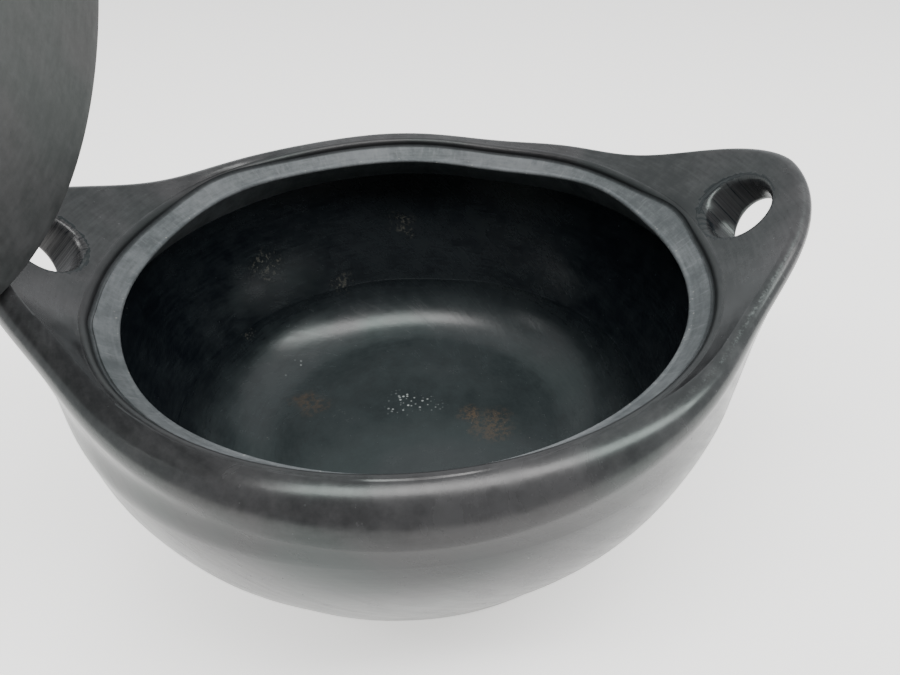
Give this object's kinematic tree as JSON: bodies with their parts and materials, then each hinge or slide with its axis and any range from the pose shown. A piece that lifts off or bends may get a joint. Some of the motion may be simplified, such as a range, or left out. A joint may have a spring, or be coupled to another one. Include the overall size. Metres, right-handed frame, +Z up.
{
  "type": "clay casserole pot",
  "caption": "Round-bellied black clay cooking pot with pierced ear handles, a sloping lid seat and a domed lid with a knob, tipped open.",
  "frame": {"origin": "centre of the flat that the pot stands on, on the table plane", "axes": "+Z up along the pot's axis, +X through the right handle, so -Y is the side that faces a person with one handle in each hand"},
  "size_m": [0.3501, 0.3315, 0.4079],
  "materials": {
    "body_clay": "smoke-blackened clay, stone-burnished to a satin gloss, with fine burnishing strokes and pits",
    "rim_clay": "burnished black clay worn grey by the lid, with fine radial wipe marks",
    "handle_clay": "hand-smoothed black clay, satin, worn lighter along the edge",
    "lid_clay": "smoke-blackened clay, satin grey, mottled"
  },
  "bodies": {
    "pot": {"base_bowl": "body_clay", "upper_wall": "body_clay", "lid_seat_ring": "rim_clay", "rim_lip": "rim_clay", "left_handle": "handle_clay", "right_handle": "handle_clay"},
    "lid": {"lid_plate": "lid_clay", "lid_knob": "lid_clay"}
  },
  "joints": [
    {"name": "lid_tip", "type": "hinge", "parent": "pot", "child": "lid", "pos_m": [-0.153, -0.0208, 0.1284], "axis": [-0.1239, 0.9669, 0.2233], "range_deg": [0, 84]}
  ]
}
